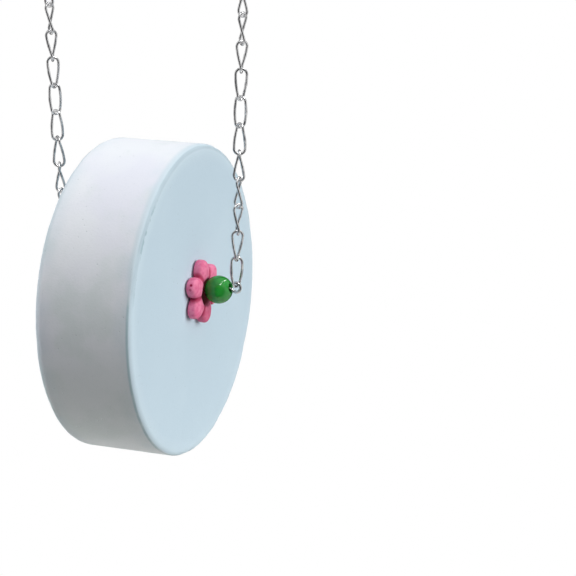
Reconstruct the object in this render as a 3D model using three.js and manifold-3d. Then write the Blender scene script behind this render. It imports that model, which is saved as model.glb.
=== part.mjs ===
// A beak grinding stone for cage birds: a chalky mineral wheel that turns on a bent wire axle, with
// a flower bead and a round bead at each face, hung by two twisted-link chains from screw links.
// Millimetres. The origin is the wheel's centre, +Y is the wheel's axis and +Z is up. The front
// side, with the flower that faces the viewer, is -Y.

import * as THREE from 'three';
import Module from 'manifold-3d';
import { mergeVertices } from 'three/addons/utils/BufferGeometryUtils.js';

const wasm = await Module();
wasm.setup();

// Clearance left between pieces that rest on each other.
const RUN = 0.3;

// Stone wheel
const STONE_DIAMETER = 110;
const STONE_THICKNESS = 36;
const STONE_EDGE_RADIUS = 2;
const STONE_BACK_EDGE_RADIUS = 4;
const STONE_BORE = 8.4;
const BORE_LIP_RADIUS = 0.8;

// Axle wire and its eyes
const AXLE_WIRE = 1.05;
const AXLE_SLOPE = THREE.MathUtils.degToRad(12);
const AXLE_BEND_LENGTH = 3;
const EYE_INSIDE = 2.3;
const EYE_NECK_ANGLE = THREE.MathUtils.degToRad(220);
const EYE_TIP_ANGLE = THREE.MathUtils.degToRad(495);

// Flower bead
const FLOWER_DIAMETER = 23.5;
const FLOWER_THICKNESS = 4.4;
const FLOWER_HOLE = 3;
const PETAL_COUNT = 6;
const PETAL_START = THREE.MathUtils.degToRad(84);
const PETAL_LENGTH = 9.5;
const PETAL_WIDTH = 7.4;
const PETAL_ROUNDING = 0.6;
const WEB_THICKNESS = 1;
const WEB_SETBACK = 0.5;

// Round bead
const BEAD_DIAMETER = 10;
const BEAD_HOLE = 3.2;

// Chain links
const LINK_WIRE = 0.9;
const LINK_WIDTH = 4.7;
const LINK_PITCH = 9.4;
const LINK_TWIST = THREE.MathUtils.degToRad(60);
const LINKS_PER_CHAIN = 11;
const CHAIN_LEAN = THREE.MathUtils.degToRad(2);
const TOP_LINK_AZIMUTH = THREE.MathUtils.degToRad(10);
const FRONT_LINK_TURN = THREE.MathUtils.degToRad(-27);
const BACK_LINK_TURN = THREE.MathUtils.degToRad(-24);

// Screw link that hangs each chain, and its sleeve nut
const HANGER_ROD = 2.5;
const HANGER_INSIDE = 7;
const HANGER_GATE = 5.5;
const NUT_GRIP = 1.5;
const NUT_FLATS = 4.8;
const NUT_CLEARANCE = 0.2;
const NUT_END_MARGIN = 1;

// Facets
const WHEEL_FACETS = 60;
const EDGE_FACETS = 4;
const LIP_FACETS = 2;
const PETAL_FACETS = 10;
const PETAL_RINGS = 6;
const BALL_FACETS = 18;
const HOLE_FACETS = 12;
const LINK_FACETS = 26;
const WIRE_SIDES = 6;
const ROD_SIDES = 8;
const ROD_STEP = 2.25;
const NUT_SIDES = 6;

const stoneFinish = new THREE.MeshStandardMaterial({ color: 0xc3d6e1, roughness: 0.92, metalness: 0 });
const flowerFinish = new THREE.MeshStandardMaterial({ color: 0xe26c95, roughness: 0.62, metalness: 0 });
const beadFinish = new THREE.MeshStandardMaterial({ color: 0x2d8a35, roughness: 0.18, metalness: 0 });
const wireFinish = new THREE.MeshStandardMaterial({ color: 0xb4b8bd, roughness: 0.28, metalness: 1 });
const hangerFinish = new THREE.MeshStandardMaterial({ color: 0xbfc2c6, roughness: 0.25, metalness: 1 });

// Pieces that need a cut or a join are turned into closed solids and back into plain geometry.
function toSolid(geometry) {
  const bare = geometry.clone();
  bare.deleteAttribute('normal');
  bare.deleteAttribute('uv');
  const merged = mergeVertices(bare, 1e-4);
  return new wasm.Manifold(new wasm.Mesh({
    numProp: 3,
    vertProperties: new Float32Array(merged.attributes.position.array),
    triVerts: new Uint32Array(merged.index.array),
  }));
}

function toGeometry(solid) {
  const mesh = solid.getMesh();
  const geometry = new THREE.BufferGeometry();
  geometry.setAttribute('position', new THREE.BufferAttribute(mesh.vertProperties, 3));
  geometry.setIndex(new THREE.BufferAttribute(mesh.triVerts, 1));
  geometry.computeVertexNormals();
  return geometry;
}

// Points of an arc in a profile plane, both ends included.
function arcPoints(centreX, centreY, radius, from, to, facets) {
  return Array.from({ length: facets + 1 }, (_, i) => {
    const angle = from + ((to - from) * i) / facets;
    return new THREE.Vector2(centreX + radius * Math.cos(angle), centreY + radius * Math.sin(angle));
  });
}

// A regular polygon, given by the radius of its corners.
function polygon(cornerRadius, sides) {
  return new THREE.Shape(arcPoints(0, 0, cornerRadius, 0, 2 * Math.PI, sides).slice(0, sides));
}

// A capped wire or rod bent along an open path.
function bentRod(path, diameter, sides, stepLength) {
  return new THREE.ExtrudeGeometry(polygon(diameter / 2, sides), {
    steps: Math.ceil(path.getLength() / stepLength),
    extrudePath: path,
  });
}

// An arc in the plane x = 0, with its angle measured from +Y towards +Z.
class UprightArc extends THREE.Curve {
  constructor(centreY, centreZ, radius, from, to) {
    super();
    Object.assign(this, { centreY, centreZ, radius, from, to });
  }

  getPoint(t, target = new THREE.Vector3()) {
    const angle = this.from + (this.to - this.from) * t;
    const y = this.centreY + this.radius * Math.cos(angle);
    const z = this.centreZ + this.radius * Math.sin(angle);
    return target.set(0, y, z);
  }
}

// Places along one side of the axle, with distances measured outwards from the wheel's mid-plane.
const faceOut = STONE_THICKNESS / 2;
const boreRadius = STONE_BORE / 2;
const axleHeight = boreRadius - RUN - AXLE_WIRE / 2;
const bendOut = faceOut + AXLE_BEND_LENGTH / 2;
const stemHeight = (out) => axleHeight + Math.tan(AXLE_SLOPE) * (out - bendOut);

const flowerOut = faceOut + RUN + FLOWER_THICKNESS / 2;
const flowerHeight = stemHeight(flowerOut);

// The round bead rides above the flower's axis, because the stem climbs, so the flower's dish has
// room for it at every turn of the flower.
const beadRadius = BEAD_DIAMETER / 2;
const webBack = -FLOWER_THICKNESS / 2 + WEB_SETBACK;
const webFront = webBack + WEB_THICKNESS;
const dishDepth = (webFront + beadRadius + RUN) / (1 - Math.tan(AXLE_SLOPE));
const dishRadius = dishDepth - webFront;
const beadOut = flowerOut + dishDepth;
const beadHeight = stemHeight(beadOut);

// The eye stops the bead: its round end sits in the mouth of the bead's hole.
const eyeRadius = (EYE_INSIDE + AXLE_WIRE) / 2;
const eyeReach = eyeRadius + AXLE_WIRE / 2 + RUN;
const holeRim = Math.sqrt(beadRadius ** 2 - (BEAD_HOLE / 2) ** 2);
const eyeAlong = holeRim + Math.sqrt(eyeReach ** 2 - (BEAD_HOLE / 2) ** 2);
const eyeOut = beadOut + eyeAlong * Math.cos(AXLE_SLOPE);
const eyeHeight = stemHeight(eyeOut);

// Stone wheel: a revolved profile with rounded rim edges and eased bore lips. The back edge, which
// lay in the bottom of the mould, is the rounder one. The profile's lower end is the front.
function makeStone() {
  const rim = STONE_DIAMETER / 2;
  const front = STONE_EDGE_RADIUS;
  const back = STONE_BACK_EDGE_RADIUS;
  const lip = BORE_LIP_RADIUS;
  const quarter = Math.PI / 2;
  const profile = [
    ...arcPoints(boreRadius + lip, faceOut - lip, lip, quarter, 2 * quarter, LIP_FACETS),
    ...arcPoints(boreRadius + lip, lip - faceOut, lip, 2 * quarter, 3 * quarter, LIP_FACETS),
    ...arcPoints(rim - front, front - faceOut, front, 3 * quarter, 4 * quarter, EDGE_FACETS),
    ...arcPoints(rim - back, faceOut - back, back, 0, quarter, EDGE_FACETS),
  ];
  profile.push(profile[0].clone());
  return new THREE.LatheGeometry(profile, WHEEL_FACETS);
}

// Axle: one wire, straight in the bore, bent up outside each face and rolled into an eye.
// side is -1 at the front and +1 at the back. Each half runs from the bore out to the eye's tip.
function axleHalf(side) {
  const at = (out, height) => new THREE.Vector3(0, side * out, height);
  const cos = Math.cos(AXLE_SLOPE);
  const sin = Math.sin(AXLE_SLOPE);
  // along runs outwards on the stem from the eye's centre, across runs upwards from the stem
  const byEye = (along, across) => {
    const out = eyeOut + along * cos - across * sin;
    return at(out, eyeHeight + along * sin + across * cos);
  };
  const onEye = (angle) => byEye(eyeRadius * Math.cos(angle), eyeRadius * Math.sin(angle));
  const kink = -eyeRadius / Math.cos(EYE_NECK_ANGLE - Math.PI);
  const stemEnd = byEye(kink - eyeRadius / 2, 0);
  const bendStart = at(faceOut, axleHeight);
  const bendEnd = at(faceOut + AXLE_BEND_LENGTH, stemHeight(faceOut + AXLE_BEND_LENGTH));

  const path = new THREE.CurvePath();
  path.add(new THREE.LineCurve3(at(0, axleHeight), bendStart));
  path.add(new THREE.QuadraticBezierCurve3(bendStart, at(bendOut, axleHeight), bendEnd));
  path.add(new THREE.LineCurve3(bendEnd, stemEnd));
  path.add(new THREE.QuadraticBezierCurve3(stemEnd, byEye(kink, 0), onEye(EYE_NECK_ANGLE)));
  const turned = (angle) => (side > 0 ? angle + AXLE_SLOPE : Math.PI - angle - AXLE_SLOPE);
  const from = turned(EYE_NECK_ANGLE);
  const to = turned(EYE_TIP_ANGLE);
  path.add(new UprightArc(side * eyeOut, eyeHeight, eyeRadius, from, to));
  return path;
}

class WholeAxle extends THREE.Curve {
  constructor() {
    super();
    this.front = axleHalf(-1);
    this.back = axleHalf(1);
  }

  getPoint(t, target = new THREE.Vector3()) {
    const half = t < 0.5 ? this.front : this.back;
    return target.copy(half.getPointAt(Math.abs(2 * t - 1)));
  }
}

function makeAxle() {
  return bentRod(new WholeAxle(), AXLE_WIRE, WIRE_SIDES, AXLE_WIRE);
}

// One petal along +X: a lobe with an oval outline and a rounded edge. At a rounding of 1 it is an
// ellipsoid, and the lower the rounding, the flatter its two faces and the steeper its edge.
function makePetal() {
  const petal = new THREE.SphereGeometry(1, PETAL_FACETS, PETAL_RINGS);
  const spots = petal.attributes.position;
  for (let i = 0; i < spots.count; i += 1) {
    const rise = spots.getY(i);
    const outline = Math.sqrt(Math.max(0, 1 - rise ** 2));
    const swell = outline > 0 ? outline ** (PETAL_ROUNDING - 1) : 0;
    const x = spots.getX(i) * swell * (PETAL_LENGTH / 2);
    const y = Math.sign(rise) * Math.abs(rise) ** PETAL_ROUNDING * (FLOWER_THICKNESS / 2);
    const z = spots.getZ(i) * swell * (PETAL_WIDTH / 2);
    spots.setXYZ(i, x, y, z);
  }
  return petal;
}

// Flower bead: six petals round a core that fills the back half, hollowed in front for the round
// bead. Its axis is Y and its front is -Y.
function makeFlower() {
  const petalReach = (FLOWER_DIAMETER - PETAL_LENGTH) / 2;
  const core = new THREE.CylinderGeometry(petalReach, petalReach, -webBack, 2 * PETAL_COUNT);
  core.translate(0, -webBack / 2, 0);
  let body = toSolid(core);
  for (let i = 0; i < PETAL_COUNT; i += 1) {
    const petal = makePetal();
    petal.translate(petalReach, 0, 0);
    petal.rotateY(PETAL_START + (2 * Math.PI * i) / PETAL_COUNT);
    body = body.add(toSolid(petal));
  }
  const dish = new THREE.SphereGeometry(dishRadius, BALL_FACETS, BALL_FACETS / 2);
  dish.translate(0, -dishDepth, 0);
  const holeRadius = FLOWER_HOLE / 2;
  const hole = new THREE.CylinderGeometry(holeRadius, holeRadius, 2 * FLOWER_THICKNESS, HOLE_FACETS);
  return toGeometry(body.subtract(toSolid(dish)).subtract(toSolid(hole)));
}

// Round bead: a drilled ball, revolved about Y.
function makeBead() {
  const rimAngle = Math.asin(BEAD_HOLE / BEAD_DIAMETER);
  const topAngle = Math.PI / 2 - rimAngle;
  const profile = arcPoints(0, 0, beadRadius, -topAngle, topAngle, BALL_FACETS / 2);
  profile.push(profile[0].clone());
  return new THREE.LatheGeometry(profile, BALL_FACETS);
}

// Chain link: a welded wire loop with straight legs and round ends, twisted about its length.
const linkHalfWidth = (LINK_WIDTH - LINK_WIRE) / 2;
const linkLength = LINK_PITCH + RUN + LINK_WIRE;
const legHalf = linkLength / 2 - linkHalfWidth;

class TwistedLoop extends THREE.Curve {
  getPoint(t, target = new THREE.Vector3()) {
    const leg = 2 * legHalf;
    const bend = Math.PI * linkHalfWidth;
    const half = leg + bend;
    const side = t < 0.5 ? 1 : -1;
    const run = (t < 0.5 ? t : t - 0.5) * 2 * half;
    const bendAngle = Math.max(0, run - leg) / linkHalfWidth;
    const across = side * linkHalfWidth * Math.cos(bendAngle);
    const up = side * (Math.min(run, leg) - legHalf + linkHalfWidth * Math.sin(bendAngle));
    const share = THREE.MathUtils.clamp(up / leg, -0.5, 0.5);
    const angle = -LINK_TWIST * share;
    return target.set(across * Math.cos(angle), across * Math.sin(angle), up);
  }
}

function makeLink() {
  return new THREE.TubeGeometry(new TwistedLoop(), LINK_FACETS, LINK_WIRE / 2, WIRE_SIDES, true);
}

// Screw link: an oval rod with a gate in its outer side, in the plane x = 0. The origin is the
// middle of its lower bend's rod, and the gated side is -Y.
const hangerRadius = (HANGER_INSIDE + HANGER_ROD) / 2;
const nutLength = HANGER_GATE + 2 * NUT_GRIP;
const nutTravel = HANGER_GATE + NUT_GRIP;
const hangerLeg = 2 * NUT_END_MARGIN + nutLength + nutTravel;
const nutLow = hangerRadius + NUT_END_MARGIN;
const gateLow = nutLow + NUT_GRIP;

function makeHanger() {
  const top = hangerRadius + hangerLeg;
  const path = new THREE.CurvePath();
  const at = (y, z) => new THREE.Vector3(0, y, z);
  const outer = -hangerRadius;
  const inner = hangerRadius;
  path.add(new THREE.LineCurve3(at(outer, gateLow), at(outer, hangerRadius)));
  path.add(new UprightArc(0, hangerRadius, hangerRadius, Math.PI, 2 * Math.PI));
  path.add(new THREE.LineCurve3(at(inner, hangerRadius), at(inner, top)));
  path.add(new UprightArc(0, top, hangerRadius, 0, Math.PI));
  path.add(new THREE.LineCurve3(at(outer, top), at(outer, gateLow + HANGER_GATE)));
  return bentRod(path, HANGER_ROD, ROD_SIDES, ROD_STEP);
}

// Sleeve nut: a hexagon tube with its ends turned down, standing on its lower end.
function makeNut() {
  const corner = NUT_FLATS / 2 / Math.cos(Math.PI / NUT_SIDES);
  const bore = HANGER_ROD / 2 + NUT_CLEARANCE;
  const barrel = new THREE.ExtrudeGeometry(polygon(corner, NUT_SIDES), {
    depth: nutLength,
    bevelEnabled: false,
  });
  const turnDown = corner - NUT_FLATS / 2;
  const turned = new THREE.LatheGeometry([
    new THREE.Vector2(bore, 0),
    new THREE.Vector2(corner - turnDown, 0),
    new THREE.Vector2(corner, turnDown),
    new THREE.Vector2(corner, nutLength - turnDown),
    new THREE.Vector2(corner - turnDown, nutLength),
    new THREE.Vector2(bore, nutLength),
    new THREE.Vector2(bore, 0),
  ], 2 * NUT_SIDES);
  turned.rotateX(Math.PI / 2);
  return toGeometry(toSolid(barrel).intersect(toSolid(turned)));
}

const stoneShape = makeStone();
const axleShape = makeAxle();
const flowerShape = makeFlower();
const beadShape = makeBead();
const linkShape = makeLink();
const hangerShape = makeHanger();
const nutShape = makeNut();

function named(name, geometry, material) {
  const mesh = new THREE.Mesh(geometry, material);
  mesh.name = name;
  return mesh;
}

// One side's beads, chain and screw link, built as the front and turned about Z for the back.
function makeSide(side, linkTurn) {
  const group = new THREE.Group();

  const flower = named(`${side}_flower_bead`, flowerShape, flowerFinish);
  flower.position.set(0, -flowerOut, flowerHeight);
  group.add(flower);

  const bead = named(`${side}_round_bead`, beadShape, beadFinish);
  bead.position.set(0, -beadOut, beadHeight);
  bead.rotation.x = -AXLE_SLOPE;
  group.add(bead);

  const chain = new THREE.Group();
  chain.position.set(0, -eyeOut, eyeHeight + eyeRadius - AXLE_WIRE / 2 - RUN - LINK_WIRE / 2);
  chain.rotation.x = CHAIN_LEAN;
  for (let i = 0; i < LINKS_PER_CHAIN; i += 1) {
    const label = String(i + 1).padStart(2, '0');
    const link = named(`${side}_chain_link_${label}`, linkShape, wireFinish);
    const fromBottom = LINKS_PER_CHAIN - 1 - i;
    link.position.z = linkLength / 2 + fromBottom * LINK_PITCH;
    link.rotation.z = TOP_LINK_AZIMUTH + i * linkTurn + LINK_TWIST / 2;
    chain.add(link);
  }

  const chainTop = linkLength + (LINKS_PER_CHAIN - 1) * LINK_PITCH;
  const screwLink = new THREE.Group();
  screwLink.position.z = chainTop - LINK_WIRE / 2 - RUN - HANGER_ROD / 2;
  screwLink.add(named(`${side}_hanger`, hangerShape, hangerFinish));
  const nut = named(`${side}_hanger_nut`, nutShape, hangerFinish);
  nut.position.set(0, -hangerRadius, nutLow);
  screwLink.add(nut);
  chain.add(screwLink);
  group.add(chain);
  return group;
}

const toy = new THREE.Group();
toy.add(named('stone', stoneShape, stoneFinish));
toy.add(named('axle_wire', axleShape, wireFinish));
toy.add(makeSide('front', FRONT_LINK_TURN));
const backSide = makeSide('back', BACK_LINK_TURN);
backSide.rotation.z = Math.PI;
toy.add(backSide);

export default toy;
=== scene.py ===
# A hanging beak stone for cage birds: a cast mineral wheel on a bent wire, dyed wooden beads at its
# faces, and two twisted chains that end in screw links. Metres, in the part's own frame: the origin
# is the wheel's centre, +Y is its axis, the front flower faces -Y, and +Z is up.
import math

import bmesh
import bpy
from mathutils import Matrix, Vector, noise


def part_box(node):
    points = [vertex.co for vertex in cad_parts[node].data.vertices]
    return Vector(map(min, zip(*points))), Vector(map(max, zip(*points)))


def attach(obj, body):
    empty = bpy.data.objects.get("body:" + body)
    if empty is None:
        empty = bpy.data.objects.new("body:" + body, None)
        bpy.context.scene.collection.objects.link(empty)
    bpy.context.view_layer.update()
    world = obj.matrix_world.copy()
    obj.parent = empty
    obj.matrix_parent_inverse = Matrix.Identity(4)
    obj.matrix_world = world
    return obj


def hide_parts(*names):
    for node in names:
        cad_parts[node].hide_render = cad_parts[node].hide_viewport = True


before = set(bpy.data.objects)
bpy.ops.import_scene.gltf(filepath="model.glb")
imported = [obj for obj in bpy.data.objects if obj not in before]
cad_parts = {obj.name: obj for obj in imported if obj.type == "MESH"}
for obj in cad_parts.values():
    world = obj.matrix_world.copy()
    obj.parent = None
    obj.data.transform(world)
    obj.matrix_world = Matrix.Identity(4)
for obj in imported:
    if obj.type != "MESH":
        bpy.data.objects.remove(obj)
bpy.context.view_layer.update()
scene = bpy.context.scene
scene.view_settings.view_transform = "Standard"

# Camera
# It looks along the wheel's rim from the left, a little in front of the flower's face and slightly
# down, close enough for the far edge to look smaller than the near one.
CAMERA_PLACE = (-0.583, -0.2698, 0.1869)
CAMERA_HEADING = math.radians(-69.53)
CAMERA_DIP = math.radians(16.04)
LENS_MM = 117.62
SENSOR_MM = 36
NEAREST = 0.01

camera = bpy.data.objects.new("camera", bpy.data.cameras.new("camera"))
camera.location = CAMERA_PLACE
camera.rotation_euler = (math.pi / 2 - CAMERA_DIP, 0, CAMERA_HEADING)
camera.data.lens = LENS_MM
camera.data.sensor_width = SENSOR_MM
camera.data.clip_start = NEAREST
scene.collection.objects.link(camera)
scene.camera = camera

# Stone wheel
# Cast from lime and gypsum in a round mould and tinted pale blue. Its rim is rubbed whiter than its
# faces, its edges are softened and worn by handling, and an oversize bore lets it turn on the wire.
STONE_BORE = 0.0084
STONE_EDGE = 0.002
STONE_BACK_EDGE = 0.004
BORE_LIP = 0.0008
STONE_SEGMENTS = 240
STONE_RINGS = 22
RINGED_LENGTH = 0.01
EDGE_STEPS = 6
EDGE_WEAR = 0.00035
NIBBLES_PER_METRE = 120
FINE_NIBBLES_PER_METRE = 420
FINE_NIBBLE_SHARE = 0.5
PITS_PER_METRE = 330.0

# Where the stone's colour changes, in from a face, in from the rim or up from the axis. A mask starts
# at the first distance and is full at the second. Where there are four, it fades from the third on.
LOWER_EDGE = (0.030, 0.006)
UNDERSIDE = (0.004, -0.020)
FACE_LINE = (0.0010, 0.0006)
FACE_WAVER = 0.0003
PALE_MARGIN = (0.0065, 0.0020)
AT_FRONT = (0.0020, 0.0010)
FRINGE_BY_FACE = (0.0036, 0.0012)
FRINGE_BY_RIM = (0.0030, 0.0014)
# Painted shade on the front edge's rounding, by distance in from the rim.
EDGE_SHADE_BY_RIM = (0.0003, 0.0007, 0.0011, 0.0022)
TEAL_LINE_BY_FACE = (0.0008, 0.0011, 0.0014, 0.0020)
TEAL_LINE_BY_RIM = (0.0040, 0.0010)
DASHES_BY_RIM = (0.0011, 0.0015, 0.0019, 0.0024)
DASHES_UP = (0.046, 0.038)
WASHED_BY_FACE = (0.0090, 0.0015)
WASHED_BY_RIM = (0.0020, 0.0005)
# Painted shade on the back edge's rounding, in from the back face and in from the rim.
BACK_EDGE_SHADE_BY_BACK = (0.0032, 0.0016)
BACK_EDGE_SHADE_BY_RIM = (0.0040, 0.0020)


class Field:
    """A socket of a finish. Arithmetic on fields adds Math nodes, so that masks read as formulas."""

    def __init__(self, tree, socket=None):
        self.tree = tree
        self.socket = socket

    def node(self, kind, settings, inputs, output=0):
        made = self.tree.nodes.new(kind)
        for name, value in settings.items():
            setattr(made, name, value)
        for name, value in inputs.items():
            if isinstance(value, Field):
                self.tree.links.new(value.socket, made.inputs[name])
            else:
                made.inputs[name].default_value = value
        return Field(self.tree, made.outputs[output])

    def math(self, operation, first, second=0.0):
        return self.node("ShaderNodeMath", {"operation": operation}, {0: first, 1: second})

    def __add__(self, other):
        return self.math("ADD", self, other)

    def __radd__(self, other):
        return self.math("ADD", other, self)

    def __sub__(self, other):
        return self.math("SUBTRACT", self, other)

    def __rsub__(self, other):
        return self.math("SUBTRACT", other, self)

    def __mul__(self, other):
        return self.math("MULTIPLY", self, other)

    def __rmul__(self, other):
        return self.math("MULTIPLY", other, self)

    def __pow__(self, power):
        return self.math("POWER", self, power)

    def __abs__(self):
        return self.math("ABSOLUTE", self)

    def rise(self, start, full):
        """A mask that goes smoothly from 0 at start to 1 at full, whichever of them is larger."""
        ends = {"Value": self, "From Min": start, "From Max": full}
        return self.node("ShaderNodeMapRange", {"interpolation_type": "SMOOTHSTEP"}, ends)

    def band(self, start, full, fade, end):
        """A mask that is 1 from full to fade, and 0 before start and after end."""
        return self.rise(start, full) * self.rise(end, fade)

    def blend(self, first, second, strength=1):
        """The first colour where this mask is 0, with this much of the second where it is 1."""
        share = self if strength == 1 else self * strength
        return self.node("ShaderNodeMix", {"data_type": "RGBA"}, {0: share, 6: first, 7: second}, 2)

    def axis(self, name):
        return self.node("ShaderNodeSeparateXYZ", {}, {"Vector": self}, name)

    def scaled(self, x, y, z):
        """These coordinates times a share along each axis. A share under 1 draws a pattern out."""
        return self.node("ShaderNodeMapping", {}, {"Vector": self, "Scale": (x, y, z)})

    def clouds(self, size, detail=2):
        """Soft noise from 0 to 1, with lumps of about this size."""
        sockets = {"Vector": self, "Scale": 1 / size, "Detail": detail}
        return self.node("ShaderNodeTexNoise", {}, sockets)

    def bump(self, depth, strength):
        """A normal for a surface that stands this much higher where the field is 1."""
        sockets = {"Height": self, "Distance": depth, "Strength": strength}
        return self.node("ShaderNodeBump", {}, sockets)

    def feed(self, socket):
        self.tree.links.new(self.socket, socket)


def rgb(red, green, blue):
    """A colour as it shows on screen, from 0 to 255 in each channel, turned linear."""
    shares = [channel / 255 for channel in (red, green, blue)]
    linear = [s / 12.92 if s <= 0.04045 else ((s + 0.055) / 1.055) ** 2.4 for s in shares]
    return (*linear, 1)


def new_finish(name):
    """A material, its shader, and its object coordinates."""
    made = bpy.data.materials.new(name)
    made.use_nodes = True
    where = Field(made.node_tree).node("ShaderNodeTexCoord", {}, {}, "Object")
    return made, made.node_tree.nodes["Principled BSDF"], where


def to_mesh(name, bm):
    """Closes a bmesh's seams, points its faces outwards and hands it over as a mesh."""
    bmesh.ops.remove_doubles(bm, verts=bm.verts, dist=1e-6)
    bmesh.ops.recalc_face_normals(bm, faces=bm.faces)
    mesh = bpy.data.meshes.new(name)
    bm.to_mesh(mesh)
    bm.free()
    return mesh


def new_piece(name, mesh, finish):
    """A smooth piece at the origin, with its place in its mesh."""
    mesh.polygons.foreach_set("use_smooth", [True] * len(mesh.polygons))
    mesh.materials.append(finish)
    made = bpy.data.objects.new(name, mesh)
    scene.collection.objects.link(made)
    return made


def wear_edges(bm, radius, half):
    """Takes a little off along the wheel's edges, more in some spots than in others."""
    bm.normal_update()
    reach = 2 * STONE_EDGE
    for vert in bm.verts:
        across = math.hypot(vert.co.x, vert.co.z)
        at_edge = min(across - radius, abs(vert.co.y) - half) + reach
        coarse = max(0, noise.noise(vert.co * NIBBLES_PER_METRE))
        fine = max(0, noise.noise(vert.co * FINE_NIBBLES_PER_METRE))
        nibbled = coarse + FINE_NIBBLE_SHARE * fine
        wear = EDGE_WEAR * nibbled * min(1, max(0, at_edge) / reach)
        vert.co -= vert.normal * wear


def cast_stone_mesh(radius, half):
    bm = bmesh.new()
    bmesh.ops.create_cone(
        bm, cap_ends=True, segments=STONE_SEGMENTS, radius1=radius, radius2=radius, depth=2 * half
    )
    bmesh.ops.rotate(bm, verts=bm.verts, cent=(0, 0, 0), matrix=Matrix.Rotation(math.pi / 2, 3, "X"))
    caps = [face for face in bm.faces if len(face.verts) > 4]
    rim_edges = [edge for face in caps for edge in face.edges]
    bmesh.ops.inset_region(bm, faces=caps, thickness=radius - STONE_BORE / 2, use_even_offset=True)
    bore_edges = [edge for face in caps for edge in face.edges]
    bmesh.ops.delete(bm, geom=caps, context="FACES_ONLY")
    bmesh.ops.bridge_loops(bm, edges=bore_edges)
    rounding = {"segments": EDGE_STEPS, "profile": 0.5, "affect": "EDGES", "material": -1}
    front_rim = [edge for edge in rim_edges if edge.verts[0].co.y < 0]
    back_rim = [edge for edge in rim_edges if edge.verts[0].co.y > 0]
    bmesh.ops.bevel(bm, geom=front_rim, offset=STONE_EDGE, **rounding)
    bmesh.ops.bevel(bm, geom=back_rim, offset=STONE_BACK_EDGE, **rounding)
    bore_edges = [edge for edge in bore_edges if edge.is_valid]
    bmesh.ops.bevel(bm, geom=bore_edges, offset=BORE_LIP, **rounding)
    long_edges = [edge for edge in bm.edges if edge.calc_length() > RINGED_LENGTH]
    bmesh.ops.subdivide_edges(bm, edges=long_edges, cuts=STONE_RINGS, use_grid_fill=True)
    wear_edges(bm, radius, half)
    return to_mesh("cast_stone", bm)


def stone_colour(where, radius, half):
    """Blue faces, a whiter rim with lilac and grey patches, teal edge lines, and painted edge shade."""
    face_blue = rgb(194, 214, 226)
    face_pale = rgb(204, 222, 232)
    rim_white = rgb(236, 240, 246)
    rim_lilac = rgb(228, 230, 243)
    rim_grey = rgb(222, 231, 233)
    # The colour of the painted shade on the front and back edges.
    edge_shade_blue = rgb(167, 186, 196)
    edge_teal = rgb(126, 162, 170)
    height = where.axis("Z")
    front = half + where.axis("Y")
    back = half - where.axis("Y")
    depth = half - abs(where.axis("Y"))
    inside = radius - (where.axis("X") ** 2 + height ** 2) ** 0.5
    low = height.rise(*LOWER_EDGE)
    under = height.rise(*UNDERSIDE)
    blotches = where.clouds(size=0.012, detail=3)

    lilac_patches = where.clouds(size=0.035).rise(0.4, 0.6) * (1 - under)
    rim = lilac_patches.blend(rim_white, rim_lilac, strength=0.6)
    grey_patches = where.clouds(size=0.022, detail=4).rise(0.5, 0.68)
    rim = grey_patches.blend(rim, rim_grey, strength=0.8)
    # The rim is greyer towards the bottom.
    rim = under.blend(rim, rim_grey, strength=0.45)
    face = inside.rise(*PALE_MARGIN).blend(face_blue, face_pale, strength=0.5)
    pale_patches = where.clouds(size=0.03).rise(0.4, 0.65)
    face = pale_patches.blend(face, face_pale, strength=0.25)
    wavering_depth = depth - FACE_WAVER * where.clouds(size=0.006)
    colour = wavering_depth.rise(*FACE_LINE).blend(rim, face)

    fringe = front.rise(*FRINGE_BY_FACE) * inside.rise(*FRINGE_BY_RIM) * (1 - low)
    colour = fringe.blend(colour, face_pale, strength=0.8)
    # Painted shade: the upper front edge's rounding is darkened where it catches more light than the
    # face.
    painted_edge_shade = inside.band(*EDGE_SHADE_BY_RIM) * front.rise(*AT_FRONT) * (1 - low)
    colour = painted_edge_shade.blend(colour, edge_shade_blue, strength=0.65)
    # A darker teal line along the front edge, on its lower part.
    teal_edge_line = front.band(*TEAL_LINE_BY_FACE) * inside.rise(*TEAL_LINE_BY_RIM) * low
    teal_edge_line_strength = 0.4 + 0.5 * blotches.rise(0.35, 0.6)
    colour = (teal_edge_line * teal_edge_line_strength).blend(colour, edge_teal)
    dashes = inside.band(*DASHES_BY_RIM) * front.rise(*AT_FRONT) * height.rise(*DASHES_UP) * (1 - low)
    breaks = where.clouds(size=0.004).rise(0.5, 0.6)
    colour = (dashes * breaks).blend(colour, edge_teal, strength=0.5)
    washed = depth.rise(*WASHED_BY_FACE) * inside.rise(*WASHED_BY_RIM) * blotches.rise(0.3, 0.7)
    colour = washed.blend(colour, face_pale, strength=0.45)
    # Painted shade: the back edge's rounding is darkened where the back light makes it bright.
    painted_back_edge_shade = back.rise(*BACK_EDGE_SHADE_BY_BACK) * inside.rise(*BACK_EDGE_SHADE_BY_RIM)
    return painted_back_edge_shade.blend(colour, edge_shade_blue, strength=0.4)


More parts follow.
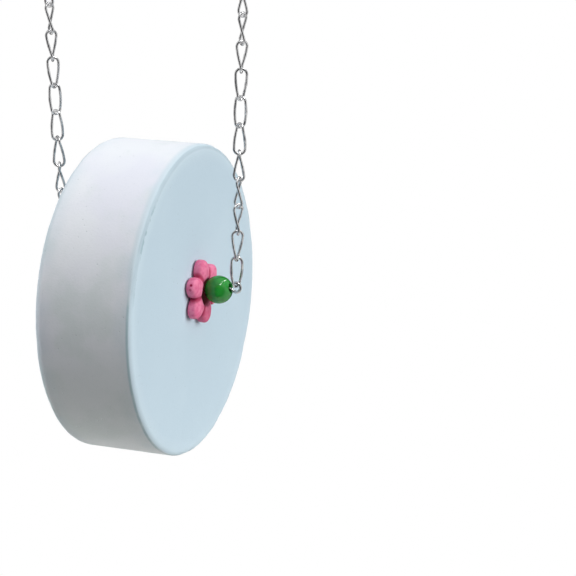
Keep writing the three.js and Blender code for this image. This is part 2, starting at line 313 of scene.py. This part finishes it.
def cast_stone_finish(radius, half):
    pit_grey = rgb(170, 186, 194)
    finish, shader, where = new_finish("cast_stone")
    pit_sockets = {"Vector": where, "Scale": PITS_PER_METRE}
    pit_cells = where.node("ShaderNodeTexVoronoi", {}, pit_sockets, "Distance")
    pits = (1 - pit_cells.rise(0.06, 0.13)) * where.clouds(size=0.012).rise(0.52, 0.6)
    chalk = where.clouds(size=0.0007, detail=4)
    lumps = where.clouds(size=0.004, detail=3)
    colour = pits.blend(stone_colour(where, radius, half), pit_grey, strength=0.25)
    colour = chalk.rise(0.56, 0.75).blend(colour, pit_grey, strength=0.1)
    colour.feed(shader.inputs["Base Color"])
    (0.86 + 0.12 * chalk).feed(shader.inputs["Roughness"])
    relief = chalk * 0.6 + lumps * 0.5 - pits
    relief.bump(depth=0.00016, strength=0.55).feed(shader.inputs["Normal"])
    shader.inputs["Specular IOR Level"].default_value = 0.25
    return finish


stone_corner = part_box("stone")[1]
stone_radius = stone_corner.z
stone_half = stone_corner.y
stone_shape = cast_stone_mesh(stone_radius, stone_half)
stone = new_piece("cast_stone", stone_shape, cast_stone_finish(stone_radius, stone_half))
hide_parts("stone")
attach(stone, "stone")

# Axle wire
# One length of plated steel wire through the bore. Outside each face it is bent upwards, runs
# through both beads and is rolled round a pin into the eye that hangs in the lowest chain link.
AXLE_WIRE = 0.00105
AXLE_GAP = 0.0003
AXLE_SLOPE = math.radians(12)
AXLE_BEND = 0.003
EYE_INSIDE = 0.0023
EYE_OUT = 0.032854
EYE_NECK = math.radians(220)
EYE_TIP = math.radians(495)
BEND_STEPS = 8
NECK_STEPS = 6
EYE_STEPS = 48
WIRE_ROUNDNESS = 5


def wire_mesh(name, spots, wire, closed=False):
    """A round wire through these points, as a mesh. A spot is a place and a thickness share."""
    curve = bpy.data.curves.new(name, "CURVE")
    curve.dimensions = "3D"
    curve.bevel_depth = wire / 2
    curve.bevel_resolution = WIRE_ROUNDNESS
    curve.use_fill_caps = not closed
    spline = curve.splines.new("POLY")
    spline.points.add(len(spots) - 1)
    spline.use_cyclic_u = closed
    for point, (place, share) in zip(spline.points, spots):
        point.co = (*place, 1)
        point.radius = share
    holder = bpy.data.objects.new(name, curve)
    scene.collection.objects.link(holder)
    shaped = holder.evaluated_get(bpy.context.evaluated_depsgraph_get())
    bm = bmesh.new()
    bm.from_mesh(bpy.data.meshes.new_from_object(shaped))
    bpy.data.objects.remove(holder)
    return to_mesh(name, bm)


def eased(first, corner, last, steps):
    """Points on the curve that leaves first towards corner and comes into last from it."""
    ways = [step / steps for step in range(steps + 1)]
    return [first.lerp(corner, way).lerp(corner.lerp(last, way), way) for way in ways]


def axle_spots():
    """The wire's path from the tip of the front eye to the tip of the back one."""
    height = STONE_BORE / 2 - AXLE_GAP - AXLE_WIRE / 2
    bend_out = stone_half + AXLE_BEND / 2

    def on_stem(out):
        return Vector((0, out, height + math.tan(AXLE_SLOPE) * (out - bend_out)))

    along = Vector((0, math.cos(AXLE_SLOPE), math.sin(AXLE_SLOPE)))
    across = Vector((0, -math.sin(AXLE_SLOPE), math.cos(AXLE_SLOPE)))
    radius = (EYE_INSIDE + AXLE_WIRE) / 2
    centre = on_stem(EYE_OUT)
    angles = [EYE_NECK + (EYE_TIP - EYE_NECK) * step / EYE_STEPS for step in range(EYE_STEPS + 1)]
    eye = [centre + radius * (along * math.cos(angle) + across * math.sin(angle)) for angle in angles]
    kink = centre - along * radius / math.cos(EYE_NECK - math.pi)
    stem_end = kink - along * radius / 2
    bend_start = Vector((0, stone_half, height))
    bend_corner = Vector((0, bend_out, height))
    bend = eased(bend_start, bend_corner, on_stem(stone_half + AXLE_BEND), BEND_STEPS)
    half = bend + eased(stem_end, kink, eye[0], NECK_STEPS) + eye[1:]
    mirrored = [Vector((0, -spot.y, spot.z)) for spot in reversed(half)]
    return [(spot, 1) for spot in mirrored + half]


def plated_wire_finish():
    bright = rgb(206, 206, 207)
    dull = rgb(164, 165, 167)
    finish, shader, where = new_finish("plated_wire")
    stains = where.clouds(size=0.0035, detail=4).rise(0.45, 0.7)
    stains.blend(bright, dull).feed(shader.inputs["Base Color"])
    (0.14 + 0.18 * where.clouds(size=0.0012, detail=3)).feed(shader.inputs["Roughness"])
    ripple = where.clouds(size=0.0003, detail=3)
    ripple.bump(depth=0.00001, strength=0.4).feed(shader.inputs["Normal"])
    shader.inputs["Metallic"].default_value = 1
    return finish


wire_finish = plated_wire_finish()
axle = new_piece("bent_axle", wire_mesh("bent_axle", axle_spots(), AXLE_WIRE), wire_finish)
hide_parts("axle_wire")
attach(axle, "axle")

# Flower beads
# Sawn from a six-lobed hardwood rod, tumbled until the petals are plump in front, and dyed pink. The
# front is dished for the round bead. Painted shade makes the dish and the lines between the petals
# dark red, and the petals low on the +X side a deeper rose.
PETALS = 6
PETAL_START = math.radians(96)
PETAL_LENGTH = 0.0095
PETAL_WIDTH = 0.0074
PETAL_ROUNDING = 0.72
PETAL_BACK_ROUNDING = 0.3
PETAL_SLACK = 0.0003
CORE_SETBACK = 0.0005
DISH_OUT = 0.005842
DISH_FLOOR = 0.0007
FLOWER_HOLE = 0.003
FLOWER_VOXEL = 0.0002
FLOWER_TUMBLING = 24
FLOWER_POLISHING = 4

# Two pores show on one petal. Each is a place on the flower and a share of the full size.
PORES = (((-0.0106, 0.0050, 0.0001), 1), ((-0.0110, 0.0033, -0.0001), 0.6))
PORE_RADIUS = 0.0003
PORE_STAIN = (0.0007, 0.0003)

# Where the colour changes: near the line between two petals and out from the flower's axis, for
# the painted shade in the creases and the dish; along a way down towards +X (shares of X and Z),
# for the painted shade on the lower petals; and away from the flower's middle plane.
CREASE_SHADE = (0.88, 1.0)
CREASE_SHADE_REACH = (0.0118, 0.0075)
DISH_SHADE_REACH = (0.0052, 0.0040)
LOWER_SHADE_WAY = (0.45, -0.9)
LOWER_SHADE_REACH = (0.001, 0.007)
BACK_TINT = (0.0012, 0.0021)
BACK_FADE = 0.002

# What hangs at the back of the stone is what hangs at its front, turned half round.
SIDES = {"front": Matrix(), "back": Matrix.Rotation(math.pi, 4, "Z")}


def middle(node):
    low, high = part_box(node)
    return (low + high) / 2


def lobed(spot):
    """A place on a ball of radius 1, moved so that the ball is plump in front and flat behind."""
    outline = math.hypot(spot.x, spot.y)
    rounding = PETAL_ROUNDING if spot.z > 0 else PETAL_BACK_ROUNDING
    swell = outline ** (rounding - 1) if outline > 1e-6 else 0
    return Vector((spot.x * swell, spot.y * swell, math.copysign(abs(spot.z) ** rounding, spot.z)))


def shaped_by(mesh, modifiers):
    """The mesh as these modifiers leave it. Each one is a type with its settings."""
    holder = bpy.data.objects.new("blank", mesh)
    scene.collection.objects.link(holder)
    for kind, settings in modifiers:
        modifier = holder.modifiers.new(kind, kind)
        for name, value in settings.items():
            setattr(modifier, name, value)
    shaped = holder.evaluated_get(bpy.context.evaluated_depsgraph_get())
    made = bpy.data.meshes.new_from_object(shaped)
    bpy.data.objects.remove(holder)
    return made


def cutter(name, bm):
    made = bpy.data.objects.new(name, to_mesh(name, bm))
    scene.collection.objects.link(made)
    return made


def placed(mesh, place):
    """A copy of a mesh, moved to its place."""
    made = mesh.copy()
    made.transform(place)
    return made


def flower_blank(diameter, thickness):
    """Six lobes and the web behind them, round the Z axis with the front at +Z."""
    reach = (diameter - PETAL_LENGTH) / 2
    bm = bmesh.new()
    for index in range(PETALS):
        ball = bmesh.ops.create_uvsphere(bm, u_segments=40, v_segments=28, radius=1)["verts"]
        for vert in ball:
            vert.co = lobed(vert.co) * Vector((PETAL_LENGTH, PETAL_WIDTH, thickness)) / 2
        bmesh.ops.translate(bm, verts=ball, vec=(reach, 0, 0))
        lobe_turn = Matrix.Rotation(PETAL_START + 2 * math.pi * index / PETALS, 3, "Z")
        bmesh.ops.rotate(bm, verts=ball, cent=(0, 0, 0), matrix=lobe_turn)
    depth = thickness / 2 - CORE_SETBACK
    core_size = {"radius1": reach, "radius2": reach, "depth": depth}
    core = bmesh.ops.create_cone(bm, cap_ends=True, segments=48, **core_size)
    bmesh.ops.translate(bm, verts=core["verts"], vec=(0, 0, -depth / 2))
    return to_mesh("flower_blank", bm)


def flower_mesh(diameter, thickness):
    """One flower round the Y axis, with its front at -Y."""
    dish = bmesh.new()
    bmesh.ops.create_uvsphere(dish, u_segments=64, v_segments=40, radius=DISH_OUT + DISH_FLOOR)
    bmesh.ops.translate(dish, verts=dish.verts, vec=(0, 0, DISH_OUT))
    hole = bmesh.new()
    hole_size = {"radius1": FLOWER_HOLE / 2, "radius2": FLOWER_HOLE / 2, "depth": 2 * thickness}
    bmesh.ops.create_cone(hole, cap_ends=True, segments=40, **hole_size)
    pores = bmesh.new()
    for spot, share in PORES:
        pore = bmesh.ops.create_icosphere(pores, subdivisions=3, radius=PORE_RADIUS * share)["verts"]
        bmesh.ops.translate(pores, verts=pore, vec=spot)
    cutters = [cutter("dish", dish), cutter("hole", hole), cutter("pores", pores)]
    cuts = [("BOOLEAN", {"object": tool, "operation": "DIFFERENCE"}) for tool in cutters]
    made = shaped_by(flower_blank(diameter, thickness), [
        ("REMESH", {"mode": "VOXEL", "voxel_size": FLOWER_VOXEL}),
        ("SMOOTH", {"factor": 0.5, "iterations": FLOWER_TUMBLING}),
        *cuts,
        ("SMOOTH", {"factor": 0.5, "iterations": FLOWER_POLISHING}),
    ])
    for tool in cutters:
        bpy.data.objects.remove(tool)
    made.transform(Matrix.Rotation(math.pi / 2, 4, "X"))
    return made


def dyed_pink_finish(centre):
    """The dye and painted shade on the flower at this centre and on the one at its place behind the
    stone.
    """
    pink = rgb(236, 135, 169)
    rose = rgb(224, 107, 147)
    shade_rose = rgb(198, 88, 120)
    # Crimson stains the pores and is the painted shade in the creases between the petals.
    crimson_stain_and_shade = rgb(168, 24, 70)
    dish_shade_red = rgb(112, 0, 18)
    finish, shader, where = new_finish("dyed_pink_wood")
    beside = where.axis("X")
    above = where.axis("Z") - centre.z
    out = abs(where.axis("Y"))
    flower_out = abs(centre.y)
    depth = abs(out - flower_out)
    across = (beside ** 2 + above ** 2) ** 0.5
    angle = where.math("ARCTAN2", above, beside)
    crease_shade = abs(where.math("SINE", (angle - PETAL_START) * (PETALS / 2))).rise(*CREASE_SHADE)
    grain = where.clouds(size=0.0016, detail=4)
    fibres = where.scaled(1, 0.15, 1).clouds(size=0.0004, detail=3)
    # Painted shade: the petals low on the +X side are a deeper rose.
    lower_petal_shade = (beside * LOWER_SHADE_WAY[0] + above * LOWER_SHADE_WAY[1]).rise(*LOWER_SHADE_REACH)
    behind = depth.rise(*BACK_TINT) * out.rise(flower_out, flower_out - BACK_FADE)
    colour = grain.rise(0.35, 0.7).blend(pink, rose)
    colour = fibres.rise(0.58, 0.72).blend(colour, rose, strength=0.35)
    colour = lower_petal_shade.blend(colour, shade_rose, strength=0.6)
    # Painted shade: crimson in the lines between the petals.
    colour = (crease_shade * across.rise(*CREASE_SHADE_REACH)).blend(colour, crimson_stain_and_shade, strength=0.8)
    # Painted shade: dark red in the dish round the bead, out to the inner petals.
    colour = across.rise(*DISH_SHADE_REACH).blend(colour, dish_shade_red)
    colour = behind.blend(colour, rose)
    for spot, share in PORES:
        pore = Matrix.Rotation(math.pi / 2, 3, "X") @ Vector(spot) + centre
        for turn in SIDES.values():
            ends = {0: where, 1: turn @ pore}
            gap = where.node("ShaderNodeVectorMath", {"operation": "DISTANCE"}, ends, "Value")
            colour = gap.rise(*PORE_STAIN).blend(colour, crimson_stain_and_shade, strength=share)
    colour.feed(shader.inputs["Base Color"])
    (0.5 + 0.2 * grain).feed(shader.inputs["Roughness"])
    (fibres + 0.6 * grain).bump(depth=0.00005, strength=0.5).feed(shader.inputs["Normal"])
    shader.inputs["Specular IOR Level"].default_value = 0.15
    return finish


flower_low, flower_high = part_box("front_flower_bead")
flower_size = flower_high - flower_low
flower_shape = flower_mesh(flower_size.z, flower_size.y - PETAL_SLACK)
seat = Vector((0, PETAL_SLACK / 2, 0))
flower_finish = dyed_pink_finish(middle("front_flower_bead") + seat)
for side, turn in SIDES.items():
    place = Matrix.Translation(middle(f"{side}_flower_bead")) @ turn @ Matrix.Translation(seat)
    flower = new_piece(f"{side}_dyed_flower", placed(flower_shape, place), flower_finish)
    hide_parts(f"{side}_flower_bead")
    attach(flower, f"{side}_flower_bead")

# Round beads
# Turned wooden balls dyed green and dipped in clear lacquer, drilled along the wire. Each sits in
# its flower's dish and leans with the stem, and the eye's shoulder stops it from sliding off.
BEAD_HOLE = 0.0032
HOLE_EDGE = 0.0003
BEAD_STEPS = 72
BEAD_ARC_STEPS = 40


def bead_mesh(radius):
    """A drilled ball round the Y axis, made by turning an arc."""
    mouth = math.asin(BEAD_HOLE / 2 / radius)
    bm = bmesh.new()
    start = bm.verts.new((radius * math.sin(mouth), radius * math.cos(mouth), 0))
    arc_turn = {"axis": (0, 0, 1), "angle": 2 * mouth - math.pi, "steps": BEAD_ARC_STEPS}
    bmesh.ops.spin(bm, geom=[start], cent=(0, 0, 0), **arc_turn)
    arc = bm.verts[:] + bm.edges[:]
    full_turn = {"axis": (0, 1, 0), "angle": 2 * math.pi, "steps": BEAD_STEPS, "use_merge": True}
    bmesh.ops.spin(bm, geom=arc, cent=(0, 0, 0), **full_turn)
    bmesh.ops.remove_doubles(bm, verts=bm.verts, dist=1e-6)
    mouths = [edge for edge in bm.edges if edge.is_boundary]
    bmesh.ops.bridge_loops(bm, edges=mouths)
    bmesh.ops.bevel(
        bm, geom=mouths, offset=HOLE_EDGE, segments=3, profile=0.5, affect="EDGES", material=-1
    )
    return to_mesh("lacquered_bead", bm)


def green_lacquer_finish():
    green = rgb(38, 148, 54)
    deep = rgb(34, 122, 44)
    fresh = rgb(84, 148, 54)
    finish, shader, where = new_finish("green_lacquer")
    grain = where.scaled(1, 0.25, 1).clouds(size=0.0011, detail=4)
    patches = where.clouds(size=0.006).rise(0.35, 0.65)
    colour = patches.blend(green, deep)
    colour = grain.rise(0.5, 0.8).blend(colour, fresh, strength=0.3)
    colour.feed(shader.inputs["Base Color"])
    (0.3 + 0.15 * grain).feed(shader.inputs["Roughness"])
    where.clouds(size=0.0025).bump(depth=0.00005, strength=0.1).feed(shader.inputs["Normal"])
    shader.inputs["Specular IOR Level"].default_value = 0
    shader.inputs["Coat Weight"].default_value = 0.85
    shader.inputs["Coat Roughness"].default_value = 0.03
    return finish


bead_low, bead_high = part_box("front_round_bead")
bead_shape = bead_mesh((bead_high.y - bead_low.y) / 2)
bead_finish = green_lacquer_finish()
stem_lean = Matrix.Rotation(-AXLE_SLOPE, 4, "X")
for side, turn in SIDES.items():
    place = Matrix.Translation(middle(f"{side}_round_bead")) @ turn @ stem_lean
    bead = new_piece(f"{side}_lacquered_bead", placed(bead_shape, place), bead_finish)
    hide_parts(f"{side}_round_bead")
    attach(bead, f"{side}_round_bead")

# Chains
# Each link is a wire loop, butt-welded on one leg and twisted about its length, so the chain lies
# flat and turns a little from link to link. The welds leave a slight swelling.
LINKS = sum(name.startswith("front_chain_link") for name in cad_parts)
LINK_WIRE = 0.0009
LINK_WIDTH = 0.0047
LINK_LENGTH = 0.0106
LINK_TWIST = math.radians(60)
LINK_STEPS = 96
TOP_LINK_TURN = math.radians(10)
LINK_TURN = {"front": math.radians(-27), "back": math.radians(-24)}
WELD_SWELL = 0.16
WELD_LENGTH = 0.0007


def link_spots():
    """Two legs and two round ends, one after the other, twisted about the link's length."""
    half_width = (LINK_WIDTH - LINK_WIRE) / 2
    leg = LINK_LENGTH - 2 * half_width
    bend = math.pi * half_width
    spots = []
    for step in range(LINK_STEPS):
        run = 2 * (leg + bend) * step / LINK_STEPS
        hand = 1 if run < leg + bend else -1
        run %= leg + bend
        around = max(0, run - leg) / half_width
        across = hand * half_width * math.cos(around)
        up = hand * (min(run, leg) - leg / 2 + half_width * math.sin(around))
        angle = -LINK_TWIST * min(0.5, max(-0.5, up / leg))
        weld = WELD_SWELL * math.exp(-((up / WELD_LENGTH) ** 2)) if hand > 0 else 0
        spots.append((Vector((across * math.cos(angle), across * math.sin(angle), up)), 1 + weld))
    return spots


def chain_ends(side):
    """The middles of a chain's top and bottom links."""
    return middle(f"{side}_chain_link_01"), middle(f"{side}_chain_link_{LINKS}")


def chain_lean(side):
    """The turn from upright to the slant at which a chain hangs, seen as the front one."""
    top, bottom = chain_ends(side)
    return Matrix.Rotation(math.atan2(abs(top.y - bottom.y), top.z - bottom.z), 4, "X")


link_shape = wire_mesh("twisted_link", link_spots(), LINK_WIRE, closed=True)
for side, turn in SIDES.items():
    top, bottom = chain_ends(side)
    for index in range(LINKS):
        label = f"{index + 1:02d}"
        centre = Matrix.Translation(top.lerp(bottom, index / (LINKS - 1)))
        own_turn = TOP_LINK_TURN + index * LINK_TURN[side] + LINK_TWIST / 2
        place = centre @ turn @ chain_lean(side) @ Matrix.Rotation(own_turn, 4, "Z")
        link = new_piece(f"{side}_twisted_link_{label}", placed(link_shape, place), wire_finish)
        # A wire this thin leaves no shadow that shows on the stone under so broad a light.
        link.visible_shadow = False
        link.visible_diffuse = False
        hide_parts(f"{side}_chain_link_{label}")
        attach(link, f"link_pair_{label}")

# Screw links
# A zinc-plated rod bent into a long ring with a gap in its outer side. Both ends of the gap are
# threaded, and a hexagonal sleeve nut screwed down over the gap locks the ring shut.
HANGER_ROD = 0.0025
HANGER_INSIDE = 0.007
GATE = 0.0055
NUT_GRIP = 0.0015
NUT_END_MARGIN = 0.001
NUT_FLATS = 0.0048
NUT_CLEARANCE = 0.0002
NUT_CHAMFER = 0.0004
NUT_LENGTH = GATE + 2 * NUT_GRIP
NUT_TRAVEL = GATE + NUT_GRIP
HANGER_RADIUS = (HANGER_INSIDE + HANGER_ROD) / 2
HANGER_LEG = NUT_LENGTH + NUT_TRAVEL + 2 * NUT_END_MARGIN
GATE_LOW = HANGER_RADIUS + NUT_END_MARGIN + NUT_GRIP
HANGER_STEPS = 24
THREAD_PITCH = 0.0006
THREAD_HEIGHT = 0.00012
THREAD_FOOT = 0.00027
THREAD_RUN = 0.0072
THREAD_STEPS = 24


def hanger_spots():
    """The rod's path, from the middle of its lower bend's rod, with the gated side at -Y."""

    def bend(height, start):
        turns = [start + math.pi * step / HANGER_STEPS for step in range(HANGER_STEPS + 1)]
        rounds = [(math.cos(angle), math.sin(angle)) for angle in turns]
        return [Vector((0, HANGER_RADIUS * y, height + HANGER_RADIUS * z)) for y, z in rounds]

    gate_foot = Vector((0, -HANGER_RADIUS, GATE_LOW))
    gate_head = Vector((0, -HANGER_RADIUS, GATE_LOW + GATE))
    lower_bend = bend(HANGER_RADIUS, math.pi)
    upper_bend = bend(HANGER_RADIUS + HANGER_LEG, 0)
    return [(spot, 1) for spot in (gate_foot, *lower_bend, *upper_bend, gate_head)]


def thread_mesh():
    """A ridge wound up a rod along +Z, made by turning a small triangle as it climbs."""
    radius = HANGER_ROD / 2
    bm = bmesh.new()
    low = bm.verts.new((radius - THREAD_HEIGHT, 0, -THREAD_FOOT))
    crest = bm.verts.new((radius + THREAD_HEIGHT, 0, 0))
    high = bm.verts.new((radius - THREAD_HEIGHT, 0, THREAD_FOOT))
    bm.faces.new((low, crest, high))
    turns = THREAD_RUN / THREAD_PITCH
    steps = round(THREAD_STEPS * turns)
    bmesh.ops.spin(
        bm, geom=bm.faces[:], axis=(0, 0, 1), cent=(0, 0, 0), dvec=(0, 0, THREAD_RUN / steps),
        angle=2 * math.pi * turns, steps=steps,
    )
    return to_mesh("thread", bm)


def nut_mesh():
    """A drilled hexagonal sleeve round Z, standing on its lower end."""
    corner = NUT_FLATS / 2 / math.cos(math.pi / 6)
    bore = HANGER_ROD / 2 + NUT_CLEARANCE
    bm = bmesh.new()
    bar_size = {"segments": 6, "radius1": corner, "radius2": corner, "depth": NUT_LENGTH}
    bmesh.ops.create_cone(bm, cap_ends=True, **bar_size)
    bmesh.ops.rotate(bm, verts=bm.verts, cent=(0, 0, 0), matrix=Matrix.Rotation(math.pi / 6, 3, "Z"))
    bmesh.ops.translate(bm, verts=bm.verts, vec=(0, 0, NUT_LENGTH / 2))
    bmesh.ops.bevel(
        bm, geom=bm.edges[:], offset=NUT_CHAMFER, segments=3, profile=0.5, affect="EDGES", material=-1
    )
    blank = to_mesh("nut_blank", bm)
    drill = bmesh.new()
    drill_size = {"segments": 40, "radius1": bore, "radius2": bore, "depth": 4 * NUT_LENGTH}
    bmesh.ops.create_cone(drill, cap_ends=True, **drill_size)
    tool = cutter("drill", drill)
    made = shaped_by(blank, [("BOOLEAN", {"object": tool, "operation": "DIFFERENCE"})])
    bpy.data.objects.remove(tool)
    return made


def zinc_finish():
    zinc = rgb(200, 202, 205)
    cloudy = rgb(176, 180, 184)
    finish, shader, where = new_finish("zinc_plating")
    spangle = where.clouds(size=0.002, detail=3).rise(0.4, 0.65)
    spangle.blend(zinc, cloudy).feed(shader.inputs["Base Color"])
    (0.24 + 0.2 * where.clouds(size=0.0009, detail=3)).feed(shader.inputs["Roughness"])
    ripple = where.clouds(size=0.0004, detail=3)
    ripple.bump(depth=0.00001, strength=0.4).feed(shader.inputs["Normal"])
    shader.inputs["Metallic"].default_value = 1
    return finish


hanger_finish = zinc_finish()
rod_shape = wire_mesh("screw_link", hanger_spots(), HANGER_ROD)
thread_shape = thread_mesh()
nut_shape = nut_mesh()
ring_foot = Matrix.Translation((0, 0, -HANGER_RADIUS - HANGER_LEG / 2))
thread_foot = Matrix.Translation((0, -HANGER_RADIUS, GATE_LOW + GATE))
nut_foot = Matrix.Translation((0, 0, -NUT_LENGTH / 2))
for side, turn in SIDES.items():
    hung = turn @ chain_lean(side)
    place = Matrix.Translation(middle(f"{side}_hanger")) @ hung @ ring_foot
    hanger = new_piece(f"{side}_screw_link", placed(rod_shape, place), hanger_finish)
    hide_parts(f"{side}_hanger")
    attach(hanger, "hangers")
    thread = new_piece(f"{side}_screw_thread", placed(thread_shape, place @ thread_foot), hanger_finish)
    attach(thread, "hangers")
    place = Matrix.Translation(middle(f"{side}_hanger_nut")) @ hung @ nut_foot
    nut = new_piece(f"{side}_sleeve_nut", placed(nut_shape, place), hanger_finish)
    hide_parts(f"{side}_hanger_nut")
    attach(nut, f"{side}_hanger_nut")

# Setting
# A bright surround that lights the stone softly from above, a little from the left, and from before
# both of its faces, a small pale floor below, and a long strip lamp that only shows as gloss.
FLOOR_DROP = 0.16
FLOOR_RADIUS = 0.205
FLOOR_SEGMENTS = 64
FLOOR_PALE = rgb(252, 250, 245)
FLOOR_ROUGHNESS = 0.9

# Each light is full along its own direction, and starts where the cosine of the angle to it is START.
GROUND_LIGHT = 0.08
SKY_LIGHT = 1.39
SKY_LEAN = math.radians(11.8)
SKY_START = 0.6
FRONT_LIGHT = 5.6
BACK_LIGHT = 4.76
FACE_LEAN = math.radians(20)
FACE_START = 0.85
WHITE = (1, 1, 1, 1)
DIM = (0.015, 0.015, 0.015, 1)
DIM_HEADING = math.radians(-69.5)
DIM_SPREAD = (0.45, 0.8)
STRIP_SIZE = (1.8, 0.06)
STRIP_PLACE = (0.3, -0.46, 0.9)
STRIP_AIM = (0.3, 0, 0)
STRIP_POWER = 9

floor_bm = bmesh.new()
bmesh.ops.create_circle(floor_bm, cap_ends=True, segments=FLOOR_SEGMENTS, radius=FLOOR_RADIUS)
bmesh.ops.translate(floor_bm, verts=floor_bm.verts, vec=(0, 0, -stone_radius - FLOOR_DROP))
floor_finish, floor_shader, _ = new_finish("pale_floor")
floor_shader.inputs["Base Color"].default_value = FLOOR_PALE
floor_shader.inputs["Roughness"].default_value = FLOOR_ROUGHNESS
floor = new_piece("floor", to_mesh("floor", floor_bm), floor_finish)

world = bpy.data.worlds.new("surround")
world.use_nodes = True
scene.world = world
way = Field(world.node_tree).node("ShaderNodeTexCoord", {}, {}, "Generated")
overhead = way.axis("Z") * math.cos(SKY_LEAN) - way.axis("X") * math.sin(SKY_LEAN)
raised = way.axis("Z") * math.sin(FACE_LEAN)
level = way.axis("Y") * math.cos(FACE_LEAN)
light = GROUND_LIGHT + SKY_LIGHT * overhead.rise(SKY_START, 1)
light = light + FRONT_LIGHT * (raised - level).rise(FACE_START, 1)
light = light + BACK_LIGHT * (raised + level).rise(FACE_START, 1)

# Straight, mirrored and refracted rays show a white background in place of the light. For mirrored
# ones it has two dim ends, which give bright wire its dark core.
ray_kinds = ("Is Camera Ray", "Is Glossy Ray", "Is Transmission Ray")
straight, mirrored, refracted = [way.node("ShaderNodeLightPath", {}, {}, kind) for kind in ray_kinds]
shown = way.math("MAXIMUM", way.math("MAXIMUM", straight, mirrored), refracted)
endwise = abs(way.axis("X") * math.sin(DIM_HEADING) - way.axis("Y") * math.cos(DIM_HEADING))
backdrop = shown.blend(light, WHITE)
backdrop = (mirrored * endwise.rise(*DIM_SPREAD)).blend(backdrop, DIM)
backdrop.feed(world.node_tree.nodes["Background"].inputs["Color"])

strip = bpy.data.objects.new("strip_lamp", bpy.data.lights.new("strip_lamp", "AREA"))
strip.data.shape = "RECTANGLE"
strip.data.size, strip.data.size_y = STRIP_SIZE
strip.data.energy = STRIP_POWER
strip.visible_diffuse = False
strip.location = STRIP_PLACE
strip.rotation_euler = (Vector(STRIP_AIM) - Vector(STRIP_PLACE)).to_track_quat("-Z", "Y").to_euler()
scene.collection.objects.link(strip)
